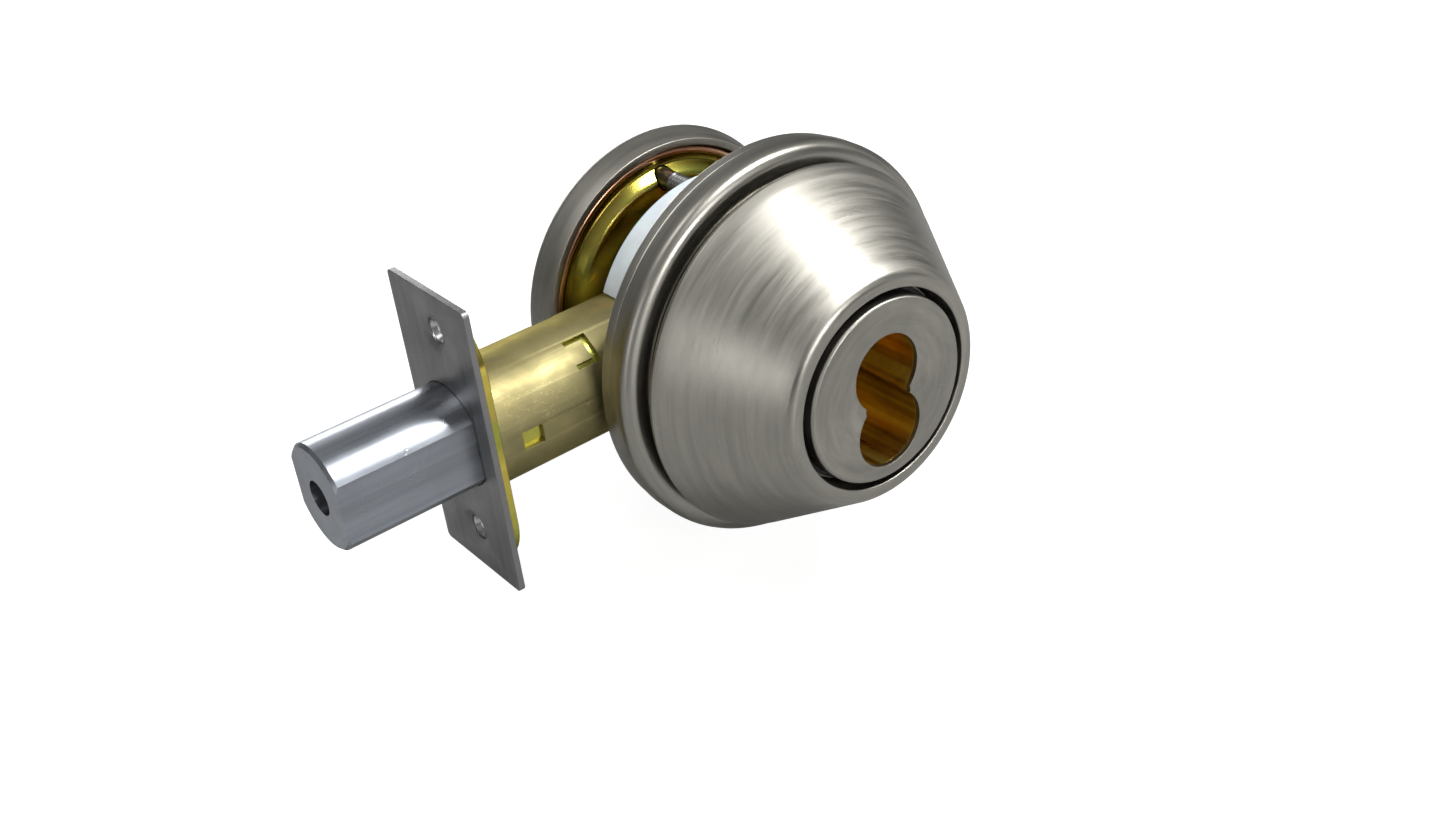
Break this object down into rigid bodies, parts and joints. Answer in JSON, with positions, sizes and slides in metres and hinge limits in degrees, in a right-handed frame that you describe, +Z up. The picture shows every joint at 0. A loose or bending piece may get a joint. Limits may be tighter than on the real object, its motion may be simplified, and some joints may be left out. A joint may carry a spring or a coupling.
{
  "type": "tubular deadbolt lock",
  "caption": "Tubular deadbolt for a bored door: sliding bolt, faceplate, ring trim with a free-turning cone collar and core opening, inner thumbturn.",
  "frame": {"origin": "where the bolt's axis crosses the cylinder's axis, at the centre of the lock", "axes": "the bolt points to -X, the cylinder axis is Y with the street side at -Y and the room at +Y, +Z is up"},
  "size_m": [0.125, 0.0865, 0.0762],
  "materials": {
    "satin_steel": "satin stainless, brushed round the axis",
    "plate_steel": "darker brushed steel",
    "bolt_chrome": "smooth satin chrome",
    "yellow_zinc": "yellow passivated zinc, iridescent",
    "olive_zinc": "matt olive-gold zinc",
    "core_brass": "machined brass",
    "sleeve_plastic": "milky plastic",
    "dark_steel": "black oxide"
  },
  "bodies": {
    "case": {"faceplate": "plate_steel", "backing_plate": "yellow_zinc", "latch_tube": "olive_zinc", "trim_ring": "satin_steel", "bore_sleeve": "sleeve_plastic", "cylinder_housing": "core_brass", "face_cap": "satin_steel", "collar_washer": "sleeve_plastic", "collar_snap_ring": "dark_steel", "cam_retainer": "yellow_zinc", "cam_screws": "dark_steel", "mounting_plate": "yellow_zinc", "mounting_screws": "plate_steel", "inner_rose": "satin_steel"},
    "collar": {"guard_collar": "satin_steel"},
    "bolt": {"bolt_head": "bolt_chrome", "hardened_pin": "dark_steel", "bolt_tail": "olive_zinc", "tail_rivets": "plate_steel"},
    "hub": {"hub": "olive_zinc", "crank_arms": "olive_zinc", "crank_pin": "plate_steel"},
    "tail": {"tailpiece": "plate_steel", "throw_cam": "core_brass", "drive_pins": "plate_steel"},
    "thumbturn": {"thumb_knob": "satin_steel", "thumb_spindle": "plate_steel", "thumb_clip": "dark_steel", "knob_set_screw": "dark_steel"}
  },
  "joints": [
    {"name": "thumbturn_turn", "type": "hinge", "parent": "case", "child": "thumbturn", "pos_m": [0, 0.0198, 0], "axis": [0, -1, 0], "range_deg": [0, 90]},
    {"name": "hub_turn", "type": "hinge", "parent": "case", "child": "hub", "pos_m": [0, 0, 0], "axis": [0, -1, 0], "range_deg": [0, 90]},
    {"name": "tailpiece_turn", "type": "hinge", "parent": "case", "child": "tail", "pos_m": [0, -0.0166, 0], "axis": [0, -1, 0], "range_deg": [0, 90]},
    {"name": "bolt_slide", "type": "slide", "parent": "case", "child": "bolt", "axis": [1, 0, 0], "range_m": [0, 0.0254]},
    {"name": "collar_spin", "type": "hinge", "parent": "case", "child": "collar", "pos_m": [0, -0.0391, 0], "axis": [0, -1, 0], "continuous": true}
  ],
  "couplings": [
    {"joint": "thumbturn_turn", "follows": "bolt_slide", "rad_per_m": 61.842},
    {"joint": "hub_turn", "follows": "bolt_slide", "rad_per_m": 61.842},
    {"joint": "tailpiece_turn", "follows": "bolt_slide", "rad_per_m": 61.842}
  ]
}
